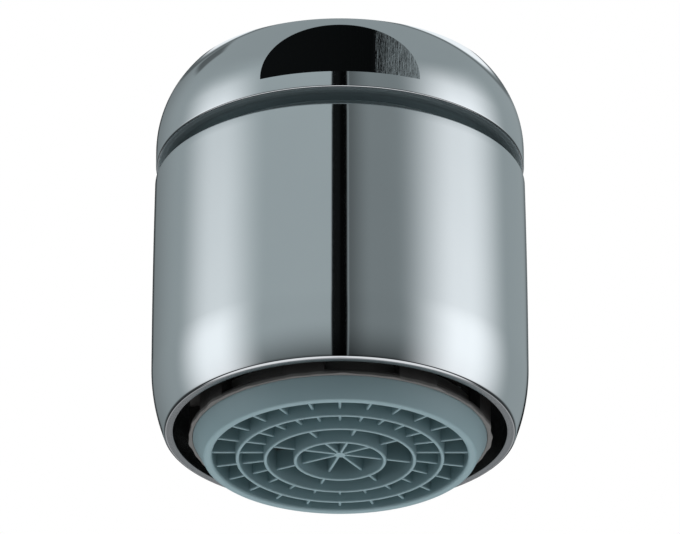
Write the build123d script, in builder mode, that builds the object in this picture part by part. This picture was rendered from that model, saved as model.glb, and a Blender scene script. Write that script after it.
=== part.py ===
from build123d import *
import os
from math import cos, radians, sin, sqrt

# Ball-joint tap aerator. Millimetres, +Z towards the tap, origin at the centre of the inlet mouth.
# The cap screws onto the tap, the housing swivels below it on a hollow ball, and the water leaves
# through the cartridge in the housing. The front spanner flat faces -Y.

# Inlet cap
thread_radius = 11.0  # M22 x 1 inlet thread, kept as a smooth wall at its major radius
thread_depth = 5.8
mouth_chamfer = 0.3
cap_wall = 2.5  # from the thread to the cap's widest radius
cap_height = 6.5
cap_side_height = 1.3  # upright side below the dome
mouth_land = 0.26  # flat rim round the mouth
cap_edge_chamfer = 0.2
flat_wall = 1.2  # from the thread to each spanner flat
flat_ledge = 1.2  # flats stop this far above the cap's lower edge
washer_step = 0.8  # the washer pocket is this much smaller than the thread
washer_thickness = 1.8
washer_width = 2.5
washer_fit = 0.1
web_thickness = 0.8
web_hole_radius = 5.0
neck_wall = 1.1  # around the washer pocket
neck_chamfer = 0.4

# Ball joint
ball_radius = 6.6
ball_top_cut = 3.4  # taken off the top of the sphere
waterway_radius = 3.5
stem_wall = 1.2
stem_swing = 0.85  # room round the stem where the ball leaves the slide ring
socket_wall = 2.0  # from the ball to the socket bore
ball_clearance = 0.05
ring_clearance = 0.05
seal_low = 2.2  # lower edge of the seal, above the ball's centre
slide_high = 1.9  # upper edge of the slide ring, below the ball's centre
retainer_thickness = 1.2
retainer_slots = 4
slot_width = 1.2
slot_depth = 0.5
tilt_limit = 5.5  # degrees each way
tilt_gap = 0.2  # left between the swivelling halves at the limit
oring_section = 0.58
oring_groove = 0.7
oring_drop = 0.68  # groove centre below the top of the hub

# Ball carrier
hub_wall = 1.6
carrier_thickness = 1.5
carrier_step = 0.3  # its thread is this much smaller than the housing's upper bore
carrier_recess_inset = 3.0  # from the cartridge flange
carrier_recess = 0.7
stem_proud = 0.3  # stem below the recess ceiling
pin_hole_radius = 0.6
pin_hole_place = 10.2

# Housing
groove = 1.36  # open groove between the cap and the housing
housing_bore_gap = 1.0  # room round the neck
housing_wall = 1.4  # at the belly
housing_taper = 0.15  # the top is this much narrower than the belly
shoulder_height = 5.06
shoulder_radius = 13.95
housing_top_round = 0.12
rim_round = 0.15
rim_inner_chamfer = 0.06
lip_thickness = 1.2
lip_fit = 0.1
air_gap = 1.2  # between the sleeve and the housing

# Cartridge
sleeve_radius = 10.9
sleeve_wall = 0.8
sleeve_flange = 0.5
flange_thickness = 1.2
sleeve_proud = 0.4  # below the rim
bead_wall = 0.23
window_height = 2.66
pillar_count = 8
pillar_angle = 16.3
pillar_turn = -14.0  # first pillar, from the front
cartridge_washer_thickness = 1.0
cartridge_washer_width = 2.8
strainer_fit = 0.1
strainer_flange = 0.6
strainer_skirt = 1.0
strainer_wall = 0.5
dome_rise = 1.4
dome_wall = 0.4
dome_ledge = 2.0  # flat rim round the dome
strainer_hole_radius = 0.4
strainer_hole_pitch = 1.8
strainer_hole_rows = 3
limiter_floor = 0.5
limiter_core_radius = 1.9
limiter_channel = 2.1
limiter_wall = 0.8
limiter_height = 1.6
limiter_holes = 6
limiter_hole_radius = 0.5
flow_oring_section = 1.4
jet_plate_thickness = 1.4
jet_groove = 0.4
jet_boss_radius = 2.2
jet_rim = 1.1
jet_hole_radius = 0.4
jet_rows = ((3.3, 16), (1.5, 24))  # distance in from the groove's wall, number of holes
mixing_ring_width = 0.8
mixing_ring_thickness = 0.6
mixing_height = 1.94  # from the jet plate down to the upper screen
screen_thickness = 0.2
screen_gap = 0.3
screen_pitch = 1.25
screen_hole = 0.9
screen_solid_edge = 0.6

# Outlet grille
grille_top_above_rim = 1.26
grille_proud = 1.55  # below the sleeve
grille_cone = 0.7  # narrowing from the sleeve down to the lower edge
grille_wall = 0.7
grille_collar = 0.4
grille_waist = 0.3
grille_fit = 0.02
grille_round = 0.12
grille_draft = 0.08  # each side of a ring gains this from bottom to top
ring_gaps = (1.825, 2.025, 2.165)  # from each ring to the next one out, at mid wall
ring_drops = (0.16, 0.26, 0.31)  # each ring's lower edge, below the outer ring's
ring_wall = 0.26
rib_wall = 0.26
rib_recess = 0.55
outer_ribs = 24
inner_ribs = 8
inner_rib_turn = 15.0
hub_radius = 0.42  # level with the inner ribs

# Sizes that follow from the ones above
cap_radius = thread_radius + cap_wall
flat_distance = thread_radius + flat_wall
pocket_radius = thread_radius - washer_step
neck_radius = pocket_radius + neck_wall
socket_radius = ball_radius + socket_wall
stem_radius = waterway_radius + stem_wall
hub_outer_radius = stem_radius + hub_wall
housing_bore_radius = neck_radius + housing_bore_gap
carrier_radius = housing_bore_radius - carrier_step
belly_radius = housing_bore_radius + housing_wall
recess_radius = sleeve_radius + air_gap
flange_radius = sleeve_radius + sleeve_flange
sleeve_bore_radius = sleeve_radius - sleeve_wall
inner_radius = sleeve_bore_radius - strainer_fit
collar_radius = sleeve_radius - bead_wall - grille_fit
carrier_recess_radius = flange_radius - carrier_recess_inset
dome_foot_radius = inner_radius - dome_ledge
grille_bottom_radius = collar_radius - grille_cone
ring_radii = [
    grille_bottom_radius - grille_wall - sum(ring_gaps[: ring + 1]) for ring in range(len(ring_gaps))
]

# Levels, from the inlet mouth down to the outlet
cap_bottom = -cap_height
thread_end = -thread_depth
pocket_floor = thread_end - washer_thickness
web_bottom = pocket_floor - web_thickness
ball_top_height = ball_radius - ball_top_cut
ball_flat_radius = sqrt(ball_radius**2 - ball_top_height**2)
ball_rise = ball_flat_radius * sin(radians(tilt_limit)) + tilt_gap
ball_centre = web_bottom - ball_rise - ball_top_height
seal_bottom = ball_centre + seal_low
slide_top = ball_centre - slide_high
slide_bottom = ball_centre - sqrt(ball_radius**2 - (stem_radius + stem_swing) ** 2)
retainer_top = slide_bottom - ring_clearance
neck_bottom = retainer_top - retainer_thickness
hub_top = neck_bottom - hub_outer_radius * sin(radians(tilt_limit)) - tilt_gap
carrier_top = neck_bottom - neck_radius * sin(radians(tilt_limit)) - tilt_gap
carrier_bottom = carrier_top - carrier_thickness
recess_ceiling = carrier_bottom + carrier_recess
stem_bottom = recess_ceiling - stem_proud
oring_level = hub_top - oring_drop
flange_top = carrier_bottom - cartridge_washer_thickness
lip_top = flange_top - flange_thickness
lip_bottom = lip_top - lip_thickness
skirt_bottom = flange_top - strainer_flange - strainer_skirt
jet_plate_bottom = skirt_bottom - jet_plate_thickness
upper_screen_top = jet_plate_bottom - mixing_height
spacer_top = upper_screen_top - screen_thickness
lower_screen_top = spacer_top - screen_gap
grille_top = lower_screen_top - screen_thickness
rim_level = grille_top - grille_top_above_rim
housing_top = cap_bottom - groove
belly_level = rim_level + shoulder_height
sleeve_bottom = rim_level - sleeve_proud
grille_bottom = sleeve_bottom - grille_proud

FRONT = -90.0  # direction of -Y


def ball_section(radius, height):
    """Radius of a sphere's section at a height above or below its centre."""
    return sqrt(radius**2 - height**2)


def sag(radius, distance):
    """How far an arc falls away from its tangent at a distance along it."""
    return radius - sqrt(radius**2 - distance**2)


def plain_ring(outer, inner, top, bottom):
    """A flat ring between two levels."""
    with BuildPart() as ring:
        with BuildSketch(Plane.XY.offset(bottom)):
            Circle(outer)
            Circle(inner, mode=Mode.SUBTRACT)
        extrude(amount=top - bottom)
    return ring


def seat_ring(outer, top, bottom):
    """A ring whose bore is the ball's seat, between two levels."""
    seat = ball_radius + ball_clearance
    with BuildPart() as ring:
        with BuildSketch(Plane.XY.offset(bottom)):
            Circle(outer)
        extrude(amount=top - bottom)
        with Locations((0, 0, ball_centre)):
            Sphere(seat, mode=Mode.SUBTRACT)
    return ring


def mesh_disc(radius, bottom):
    """A thin disc full of square holes, with a solid edge."""
    with BuildPart() as disc:
        with BuildSketch(Plane.XY.offset(bottom)):
            Circle(radius)
            with BuildSketch(mode=Mode.PRIVATE) as holes:
                count = int(2 * radius / screen_pitch) + 1
                with GridLocations(screen_pitch, screen_pitch, count, count):
                    Rectangle(screen_hole, screen_hole)
            reach = radius - screen_solid_edge
            kept = [hole for hole in holes.faces() if farthest_corner(hole) < reach]
            add(kept, mode=Mode.SUBTRACT)
        extrude(amount=screen_thickness)
    return disc


def farthest_corner(face):
    """Distance from the axis to a face's farthest corner."""
    return max(sqrt(corner.X**2 + corner.Y**2) for corner in face.vertices())


# Chromed brass cap: thread, washer pocket, web and ball socket in one turning
with BuildPart() as swivel_cap:
    dome_foot = cap_bottom + cap_side_height
    dome_middle = dome_foot / 2
    top_radius = thread_radius + mouth_chamfer + mouth_land
    dome_fall = cap_radius - top_radius
    dome_radius = (dome_foot**2 + dome_fall**2) / (2 * dome_fall)
    middle_radius = cap_radius - sag(dome_radius, dome_middle - dome_foot)
    with BuildSketch(Plane.XZ):
        with BuildLine():
            side = Line((cap_radius, cap_bottom + cap_edge_chamfer), (cap_radius, dome_foot))
            dome = ThreePointArc(side @ 1, (middle_radius, dome_middle), (top_radius, 0))
            Polyline(
                dome @ 1,
                (thread_radius + mouth_chamfer, 0),
                (thread_radius, -mouth_chamfer),
                (thread_radius, thread_end),
                (pocket_radius, thread_end),
                (pocket_radius, pocket_floor),
                (web_hole_radius, pocket_floor),
                (web_hole_radius, web_bottom),
                (socket_radius, web_bottom),
                (socket_radius, neck_bottom),
                (neck_radius - neck_chamfer, neck_bottom),
                (neck_radius, neck_bottom + neck_chamfer),
                (neck_radius, cap_bottom),
                (cap_radius - cap_edge_chamfer, cap_bottom),
                side @ 0,
            )
        make_face()
    revolve(axis=Axis.Z)
    flat_height = -cap_bottom - flat_ledge
    with Locations(Plane.XY.offset(cap_bottom + flat_ledge)):
        with PolarLocations(flat_distance, 2, start_angle=FRONT):
            Box(
                cap_wall,
                2 * cap_radius,
                flat_height,
                align=(Align.MIN, Align.CENTER, Align.MIN),
                mode=Mode.SUBTRACT,
            )

# Flat rubber washer that the tap's spout end presses on
inlet_washer = plain_ring(
    pocket_radius - washer_fit,
    pocket_radius - washer_fit - washer_width,
    thread_end,
    pocket_floor,
)

# Rubber seal above the ball and plastic slide ring below it
ball_seal = seat_ring(socket_radius - ring_clearance, web_bottom, seal_bottom)
slide_ring = seat_ring(socket_radius - ring_clearance, slide_top, slide_bottom)

# Screwed ring that closes the socket, with spanner slots in its lower face
with BuildPart() as retaining_ring:
    retainer_bore = stem_radius + stem_swing + tilt_gap
    with BuildSketch(Plane.XY.offset(neck_bottom)):
        Circle(socket_radius)
        Circle(retainer_bore, mode=Mode.SUBTRACT)
    extrude(amount=retainer_thickness)
    with BuildSketch(Plane.XY.offset(neck_bottom)):
        with PolarLocations(socket_radius, retainer_slots):
            Rectangle(socket_radius - retainer_bore, slot_width)
    extrude(amount=slot_depth, mode=Mode.SUBTRACT)

# Hollow ball with its stem
with BuildPart() as swivel_ball:
    neck_height = sqrt(ball_radius**2 - stem_radius**2)
    with BuildSketch(Plane.XZ):
        with BuildLine():
            top_edge = (ball_flat_radius, ball_centre + ball_top_height)
            ball_face = ThreePointArc(
                top_edge, (ball_radius, ball_centre), (stem_radius, ball_centre - neck_height)
            )
            Polyline(
                ball_face @ 1,
                (stem_radius, oring_level + oring_groove / 2),
                (stem_radius - oring_section, oring_level + oring_groove / 2),
                (stem_radius - oring_section, oring_level - oring_groove / 2),
                (stem_radius, oring_level - oring_groove / 2),
                (stem_radius, stem_bottom),
                (waterway_radius, stem_bottom),
                (waterway_radius, ball_centre + ball_top_height),
                top_edge,
            )
        make_face()
    revolve(axis=Axis.Z)
    mouth = swivel_ball.edges().filter_by(GeomType.CIRCLE).group_by(Axis.Z)[-1].sort_by(SortBy.RADIUS)[0]
    chamfer(mouth, length=mouth_chamfer)

# Rubber ring in the stem's groove
with BuildPart() as stem_oring:
    with BuildSketch(Plane.XZ):
        with Locations((stem_radius - oring_section / 2, oring_level)):
            Circle(oring_section / 2 - grille_fit)
    revolve(axis=Axis.Z)

# Brass disc that holds the stem and screws into the housing
with BuildPart() as ball_carrier:
    with BuildSketch(Plane.XZ):
        with BuildLine():
            Polyline(
                (stem_radius, hub_top),
                (hub_outer_radius, hub_top),
                (hub_outer_radius, carrier_top),
                (carrier_radius, carrier_top),
                (carrier_radius, carrier_bottom),
                (carrier_recess_radius, carrier_bottom),
                (carrier_recess_radius, recess_ceiling),
                (stem_radius, recess_ceiling),
                (stem_radius, hub_top),
            )
        make_face()
    revolve(axis=Axis.Z)
    with BuildSketch(Plane.XY.offset(carrier_top)):
        with PolarLocations(pin_hole_place, 2):
            Circle(pin_hole_radius)
    extrude(amount=-carrier_recess, mode=Mode.SUBTRACT)

# Chromed brass housing: upper bore, carrier thread, cartridge seat and outlet recess
with BuildPart() as housing:
    housing_top_radius = belly_radius - housing_taper
    housing_middle = (housing_top + belly_level) / 2
    shoulder_middle = (belly_level + rim_level) / 2
    rim_radius = belly_radius - sag(shoulder_radius, shoulder_height)
    cartridge_bore_radius = flange_radius + lip_fit
    with BuildSketch(Plane.XZ) as profile:
        with BuildLine():
            side = ThreePointArc(
                (housing_top_radius, housing_top),
                (belly_radius - housing_taper / 4, housing_middle),
                (belly_radius, belly_level),
            )
            shoulder = ThreePointArc(
                side @ 1,
                (belly_radius - sag(shoulder_radius, shoulder_height / 2), shoulder_middle),
                (rim_radius, rim_level),
            )
            Polyline(
                shoulder @ 1,
                (recess_radius + rim_inner_chamfer, rim_level),
                (recess_radius, rim_level + rim_inner_chamfer),
                (recess_radius, lip_bottom),
                (sleeve_radius + lip_fit, lip_bottom),
                (sleeve_radius + lip_fit, lip_top),
                (cartridge_bore_radius, lip_top),
                (cartridge_bore_radius, carrier_bottom),
                (carrier_radius, carrier_bottom),
                (carrier_radius, carrier_top),
                (housing_bore_radius, carrier_top),
                (housing_bore_radius, housing_top),
                side @ 0,
            )
        make_face()
        top_corner = profile.vertices().group_by(Axis.Y)[-1].sort_by(Axis.X)[-1]
        fillet(top_corner, radius=housing_top_round)
        rim_corner = profile.vertices().group_by(Axis.Y)[0].sort_by(Axis.X)[-1]
        fillet(rim_corner, radius=rim_round)
    revolve(axis=Axis.Z)

# Flat rubber washer between the carrier and the cartridge
cartridge_washer = plain_ring(
    flange_radius, flange_radius - cartridge_washer_width, carrier_bottom, flange_top
)

# Plastic sleeve of the cartridge, with air windows between its pillars
with BuildPart() as cartridge_sleeve:
    with BuildSketch(Plane.XZ):
        with BuildLine():
            Polyline(
                (sleeve_bore_radius, flange_top),
                (flange_radius, flange_top),
                (flange_radius, lip_top),
                (sleeve_radius, lip_top),
                (sleeve_radius, sleeve_bottom),
                (sleeve_radius - bead_wall, sleeve_bottom),
                (sleeve_radius - bead_wall, rim_level),
                (sleeve_bore_radius, rim_level),
                (sleeve_bore_radius, flange_top),
            )
        make_face()
    revolve(axis=Axis.Z)
    window_angle = 360 / pillar_count - pillar_angle
    first_window = FRONT + pillar_turn + 180 / pillar_count
    middle_radius = sleeve_radius - sleeve_wall / 2
    with BuildSketch(Plane.XY.offset(rim_level)):
        with PolarLocations(0, pillar_count, start_angle=first_window):
            SlotArc(
                CenterArc((0, 0), middle_radius, -window_angle / 2, window_angle),
                2 * sleeve_wall,
            )
    extrude(amount=window_height, mode=Mode.SUBTRACT)

# Domed strainer on its skirt
with BuildPart() as cartridge_strainer:
    dome_sphere = (dome_foot_radius**2 + dome_rise**2) / (2 * dome_rise)
    dome_centre = flange_top + dome_rise - dome_sphere
    inner_sphere = dome_sphere - dome_wall
    dome_inner_foot = sqrt(inner_sphere**2 - (flange_top - dome_centre) ** 2)
    with BuildSketch(Plane.XZ):
        with BuildLine():
            outer_arc = ThreePointArc(
                (0, dome_centre + dome_sphere),
                (
                    dome_foot_radius / 2,
                    dome_centre + ball_section(dome_sphere, dome_foot_radius / 2),
                ),
                (dome_foot_radius, flange_top),
            )
            inner_arc = ThreePointArc(
                (dome_inner_foot, flange_top),
                (
                    dome_inner_foot / 2,
                    dome_centre + ball_section(inner_sphere, dome_inner_foot / 2),
                ),
                (0, dome_centre + inner_sphere),
            )
            Line(inner_arc @ 1, outer_arc @ 0)
            Polyline(
                outer_arc @ 1,
                (inner_radius, flange_top),
                (inner_radius, skirt_bottom),
                (inner_radius - strainer_wall, skirt_bottom),
                (inner_radius - strainer_wall, flange_top - strainer_flange),
                (dome_inner_foot, flange_top - strainer_flange),
                inner_arc @ 0,
            )
        make_face()
    revolve(axis=Axis.Z)
    with BuildSketch(Plane.XY.offset(flange_top)):
        Circle(strainer_hole_radius)
        for row in range(1, strainer_hole_rows + 1):
            with PolarLocations(row * strainer_hole_pitch, 6 * row):
                Circle(strainer_hole_radius)
    extrude(amount=dome_rise, mode=Mode.SUBTRACT)

# Flow limiter: a floor with an annular channel for its rubber ring
with BuildPart() as flow_limiter:
    limiter_radius = inner_radius - strainer_wall - strainer_fit
    channel_radius = limiter_core_radius + limiter_channel
    hole_place = limiter_core_radius + limiter_channel / 2
    with BuildSketch(Plane.XY.offset(skirt_bottom)):
        Circle(limiter_radius)
    extrude(amount=limiter_floor)
    with BuildSketch(Plane.XY.offset(skirt_bottom)):
        Circle(channel_radius + limiter_wall)
        Circle(channel_radius, mode=Mode.SUBTRACT)
        Circle(limiter_core_radius)
    extrude(amount=limiter_height)
    with BuildSketch(Plane.XY.offset(skirt_bottom)):
        with PolarLocations(hole_place, limiter_holes):
            Circle(limiter_hole_radius)
    extrude(amount=limiter_floor, mode=Mode.SUBTRACT)

# Rubber ring that narrows the limiter's channel as the pressure rises
with BuildPart() as flow_oring:
    with BuildSketch(Plane.XZ):
        oring_height = skirt_bottom + limiter_floor + flow_oring_section / 2 + grille_fit
        with Locations((hole_place, oring_height)):
            Circle(flow_oring_section / 2)
    revolve(axis=Axis.Z)

# Jet plate: a spreading groove above rows of small holes
with BuildPart() as jet_plate:
    with BuildSketch(Plane.XY.offset(jet_plate_bottom)):
        Circle(inner_radius)
    extrude(amount=jet_plate_thickness)
    with BuildSketch(Plane.XY.offset(skirt_bottom)):
        Circle(inner_radius - jet_rim)
        Circle(jet_boss_radius, mode=Mode.SUBTRACT)
    extrude(amount=-jet_groove, mode=Mode.SUBTRACT)
    with BuildSketch(Plane.XY.offset(jet_plate_bottom)):
        for row_inset, row_count in jet_rows:
            with PolarLocations(inner_radius - jet_rim - row_inset, row_count):
                Circle(jet_hole_radius)
    extrude(amount=jet_plate_thickness, mode=Mode.SUBTRACT)

# Mixing ring: legs behind the sleeve's pillars leave the windows open to the air
with BuildPart() as mixing_ring:
    with BuildSketch(Plane.XY.offset(jet_plate_bottom - mixing_ring_thickness)):
        Circle(inner_radius)
        Circle(inner_radius - mixing_ring_width, mode=Mode.SUBTRACT)
    extrude(amount=mixing_ring_thickness)
    leg_radius = inner_radius - mixing_ring_width / 2
    with BuildSketch(Plane.XY.offset(upper_screen_top)):
        with PolarLocations(leg_radius, pillar_count, start_angle=FRONT + pillar_turn):
            Rectangle(mixing_ring_width / 2, 2 * mixing_ring_width)
    extrude(amount=jet_plate_bottom - upper_screen_top - mixing_ring_thickness / 2)

# Two steel screens with a thin spacer between them
upper_screen = mesh_disc(inner_radius, spacer_top)
screen_spacer = plain_ring(
    inner_radius, inner_radius - mixing_ring_width, spacer_top, lower_screen_top
)
lower_screen = mesh_disc(inner_radius, grille_top)

# Plastic outlet grille: rings, ribs and a small hub
with BuildPart() as outlet_grille:
    grille_height = grille_top - grille_bottom
    waist_radius = sleeve_bore_radius - grille_waist
    bore_top_radius = grille_bottom_radius - grille_wall - grille_draft
    seat_level = rim_level - grille_fit
    with BuildSketch(Plane.XZ):
        with BuildLine():
            Polyline(
                (bore_top_radius, grille_top),
                (inner_radius, grille_top),
                (inner_radius, grille_top - grille_collar),
                (waist_radius, grille_top - grille_collar - grille_waist),
                (waist_radius, seat_level),
                (collar_radius, seat_level),
                (collar_radius, sleeve_bottom),
                (grille_bottom_radius, grille_bottom),
                (grille_bottom_radius - grille_wall, grille_bottom),
                (bore_top_radius, grille_top),
            )
        make_face()
    revolve(axis=Axis.Z)
    lower_edges = outlet_grille.edges().group_by(Axis.Z)[0]
    fillet(lower_edges, radius=grille_round)
    for ring_radius, ring_drop in zip(ring_radii, ring_drops):
        low = grille_bottom - ring_drop
        half = ring_wall / 2
        with BuildSketch(Plane.XZ):
            with BuildLine():
                Polyline(
                    (ring_radius - half, low),
                    (ring_radius + half, low),
                    (ring_radius + half + grille_draft, grille_top),
                    (ring_radius - half - grille_draft, grille_top),
                    (ring_radius - half, low),
                )
            make_face()
        revolve(axis=Axis.Z)
    outer_length = grille_bottom_radius - grille_wall / 2 - ring_radii[1]
    outer_rib_bottom = grille_bottom + rib_recess - ring_drops[0]
    with BuildSketch(Plane.XY.offset(outer_rib_bottom)):
        with PolarLocations(ring_radii[1] + outer_length / 2, outer_ribs, start_angle=FRONT):
            Rectangle(outer_length, rib_wall)
    extrude(amount=grille_top - outer_rib_bottom)
    inner_rib_bottom = grille_bottom + rib_recess - ring_drops[2]
    with BuildSketch(Plane.XY.offset(inner_rib_bottom)):
        inner_start = FRONT + inner_rib_turn
        with PolarLocations(ring_radii[1] / 2, inner_ribs, start_angle=inner_start):
            Rectangle(ring_radii[1], rib_wall)
    extrude(amount=grille_top - inner_rib_bottom)
    with BuildSketch(Plane.XY.offset(inner_rib_bottom)):
        Circle(hub_radius)
    extrude(amount=grille_top - inner_rib_bottom)

pieces = {
    "swivel_cap": swivel_cap,
    "inlet_washer": inlet_washer,
    "ball_seal": ball_seal,
    "slide_ring": slide_ring,
    "retaining_ring": retaining_ring,
    "swivel_ball": swivel_ball,
    "stem_oring": stem_oring,
    "ball_carrier": ball_carrier,
    "housing": housing,
    "cartridge_washer": cartridge_washer,
    "cartridge_sleeve": cartridge_sleeve,
    "cartridge_strainer": cartridge_strainer,
    "flow_limiter": flow_limiter,
    "flow_oring": flow_oring,
    "jet_plate": jet_plate,
    "mixing_ring": mixing_ring,
    "upper_screen": upper_screen,
    "screen_spacer": screen_spacer,
    "lower_screen": lower_screen,
    "outlet_grille": outlet_grille,
}
os.makedirs("parts", exist_ok=True)
for label, piece in pieces.items():
    piece.part.label = label
    export_step(piece.part, f"parts/{label}.step")
print("ball centre", round(ball_centre, 3), "rim", round(rim_level, 3), "outlet", round(grille_bottom, 3))
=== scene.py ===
import math
import bpy
import bmesh
from mathutils import Matrix, Vector


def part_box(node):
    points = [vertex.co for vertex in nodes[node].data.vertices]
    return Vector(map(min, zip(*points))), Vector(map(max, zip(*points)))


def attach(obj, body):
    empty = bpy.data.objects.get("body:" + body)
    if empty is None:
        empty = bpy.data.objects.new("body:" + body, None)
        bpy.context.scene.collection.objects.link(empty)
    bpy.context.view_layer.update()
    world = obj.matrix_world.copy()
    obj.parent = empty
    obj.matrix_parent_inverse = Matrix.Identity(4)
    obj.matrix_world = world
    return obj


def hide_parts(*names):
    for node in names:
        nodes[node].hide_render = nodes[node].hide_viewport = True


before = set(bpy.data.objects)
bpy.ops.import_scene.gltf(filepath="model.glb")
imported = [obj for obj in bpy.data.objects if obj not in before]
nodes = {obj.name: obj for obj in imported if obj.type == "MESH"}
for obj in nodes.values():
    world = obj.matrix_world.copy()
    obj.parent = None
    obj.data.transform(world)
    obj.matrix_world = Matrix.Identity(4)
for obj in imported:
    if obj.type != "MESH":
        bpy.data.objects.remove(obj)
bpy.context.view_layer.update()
mm = 0.001
print("frame loaded:", len(nodes), "CAD nodes")

samePoint = 1e-6  # mm, points nearer than this are one


# mesh helpers

def arc(centre, radius, fromAngle, toAngle, steps):
    # points of an arc in the (radius, height) half plane, angles in degrees
    points = []
    for i in range(steps + 1):
        angle = math.radians(fromAngle + (toAngle - fromAngle) * i / steps)
        points.append((centre[0] + radius * math.cos(angle), centre[1] + radius * math.sin(angle)))
    return points


def addObject(name, mesh):
    piece = bpy.data.objects.new(name, mesh)
    bpy.context.scene.collection.objects.link(piece)
    return piece


def markSharp(mesh, limit=28.0):
    # smooth shading with crisp edges where two faces turn by more than the limit
    work = bmesh.new()
    work.from_mesh(mesh)
    for face in work.faces:
        face.smooth = True
    for edge in work.edges:
        if len(edge.link_faces) == 2:
            edge.smooth = edge.calc_face_angle(0) < math.radians(limit)
    work.to_mesh(mesh)
    work.free()


def faceOutwards(mesh):
    work = bmesh.new()
    work.from_mesh(mesh)
    bmesh.ops.recalc_face_normals(work, faces=work.faces)
    work.to_mesh(mesh)
    work.free()


def spinPoint(radius, height, angle):
    # a point about the axis in metres, its angle measured from the front towards +X
    return radius * mm * math.sin(angle), -radius * mm * math.cos(angle), height * mm


def turned(name, stretches, segments):
    # a closed profile spun about the axis; stretches are (finish index, points in mm)
    outline, finish = [], []
    for index, points in stretches:
        for point in points:
            if outline and math.dist(outline[-1], point) < samePoint:
                finish[-1] = index
                continue
            outline.append(point)
            finish.append(index)
    count = len(outline)
    verts, faces, slots = [], [], []
    for step in range(segments):
        angle = 2 * math.pi * step / segments
        verts += [spinPoint(radius, height, angle) for radius, height in outline]
    for step in range(segments):
        here, there = step * count, (step + 1) % segments * count
        for i in range(count):
            j = (i + 1) % count
            faces.append((here + i, here + j, there + j, there + i))
            slots.append(finish[i])
    mesh = bpy.data.meshes.new(name)
    mesh.from_pydata(verts, [], faces)
    mesh.polygons.foreach_set("material_index", slots)
    faceOutwards(mesh)
    markSharp(mesh)
    return addObject(name, mesh)


def meshFrom(work, name):
    mesh = bpy.data.meshes.new(name)
    work.to_mesh(mesh)
    work.free()
    return mesh


def booleanWith(piece, helper, operation):
    # joins or cuts with the helper, which is then removed
    cut = piece.modifiers.new("cut", "BOOLEAN")
    cut.operation = operation
    cut.solver = "EXACT"
    cut.use_self = operation == "UNION"
    cut.object = helper
    depsgraph = bpy.context.evaluated_depsgraph_get()
    mesh = bpy.data.meshes.new_from_object(piece.evaluated_get(depsgraph))
    piece.modifiers.clear()
    piece.data = mesh
    bpy.data.objects.remove(helper)


def setMaterials(piece, *materials):
    # slots are filled in place, because clearing them would send every face back to the first
    slots = piece.data.materials
    for index, material in enumerate(materials):
        if index < len(slots):
            slots[index] = material
        else:
            slots.append(material)


def place(piece, body, slot, *replaced):
    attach(piece, body)
    if replaced:
        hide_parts(*replaced)


# node helpers

def newGroup(name, inputs, outputs):
    group = bpy.data.node_groups.new(name, "ShaderNodeTree")
    for label, value in inputs:
        socket = group.interface.new_socket(label, in_out="INPUT", socket_type="NodeSocketFloat")
        socket.default_value = value
    for label in outputs:
        group.interface.new_socket(label, in_out="OUTPUT", socket_type="NodeSocketFloat")
    return group, group.nodes.new("NodeGroupInput"), group.nodes.new("NodeGroupOutput")


def calc(tree, operation, a, b=None):
    # a Math node; each input is a socket or a number
    node = tree.nodes.new("ShaderNodeMath")
    node.operation = operation
    for index, value in enumerate((a, b)):
        if isinstance(value, (int, float)):
            node.inputs[index].default_value = value
        elif value is not None:
            tree.links.new(value, node.inputs[index])
    return node.outputs[0]


def ownPosition(tree):
    return tree.nodes.new("ShaderNodeTexCoord").outputs["Object"]


def split(tree, vector):
    parts = tree.nodes.new("ShaderNodeSeparateXYZ")
    tree.links.new(vector, parts.inputs[0])
    return parts.outputs


def axisDistance(tree, parts):
    squareX = calc(tree, "MULTIPLY", parts["X"], parts["X"])
    squareY = calc(tree, "MULTIPLY", parts["Y"], parts["Y"])
    return calc(tree, "SQRT", calc(tree, "ADD", squareX, squareY))


def ramp(tree, source, stops):
    # a ColorRamp from 0 to 1; stops are (position, grey)
    node = tree.nodes.new("ShaderNodeValToRGB")
    node.color_ramp.interpolation = "EASE"
    elements = node.color_ramp.elements
    while len(elements) > 1:
        elements.remove(elements[-1])
    for index, (where, grey) in enumerate(stops):
        element = elements[0] if index == 0 else elements.new(where)
        element.position = where
        element.color = (grey, grey, grey, 1)
    tree.links.new(source, node.inputs["Fac"])
    return node.outputs["Color"]


def smooth(tree, source, start, end, low=0.0, high=1.0):
    node = tree.nodes.new("ShaderNodeMapRange")
    node.interpolation_type = "SMOOTHSTEP"
    tree.links.new(source, node.inputs["Value"])
    limits = (("From Min", start), ("From Max", end), ("To Min", low), ("To Max", high))
    for label, value in limits:
        node.inputs[label].default_value = value
    return node.outputs["Result"]


def spread(tree, source, low, high):
    # a 0..1 value spread between two limits
    node = tree.nodes.new("ShaderNodeMapRange")
    tree.links.new(source, node.inputs["Value"])
    node.inputs["To Min"].default_value = low
    node.inputs["To Max"].default_value = high
    return node.outputs["Result"]


def mixColours(tree, factor, first, second):
    # each colour is a socket or an RGB tuple
    node = tree.nodes.new("ShaderNodeMix")
    node.data_type = "RGBA"
    tree.links.new(factor, node.inputs["Factor"])
    for label, colour in (("A", first), ("B", second)):
        if isinstance(colour, tuple):
            node.inputs[label].default_value = (*colour, 1)
        else:
            tree.links.new(colour, node.inputs[label])
    return node.outputs["Result"]


def addBump(tree, shader, height, strength, distance):
    node = tree.nodes.new("ShaderNodeBump")
    node.inputs["Strength"].default_value = strength
    node.inputs["Distance"].default_value = distance
    tree.links.new(height, node.inputs["Height"])
    tree.links.new(node.outputs["Normal"], shader.inputs["Normal"])


def startMaterial(name):
    material = bpy.data.materials.new(name)
    material.use_nodes = True
    tree = material.node_tree
    return material, tree, tree.nodes["Principled BSDF"]


# shared effects

effects = {
    "latheDetail": 5.0,
    "latheRoughness": 0.7,
    "smudgeDetail": 4.0,
    "markHeight": 0.00002,  # m, all fine marks
}


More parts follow.
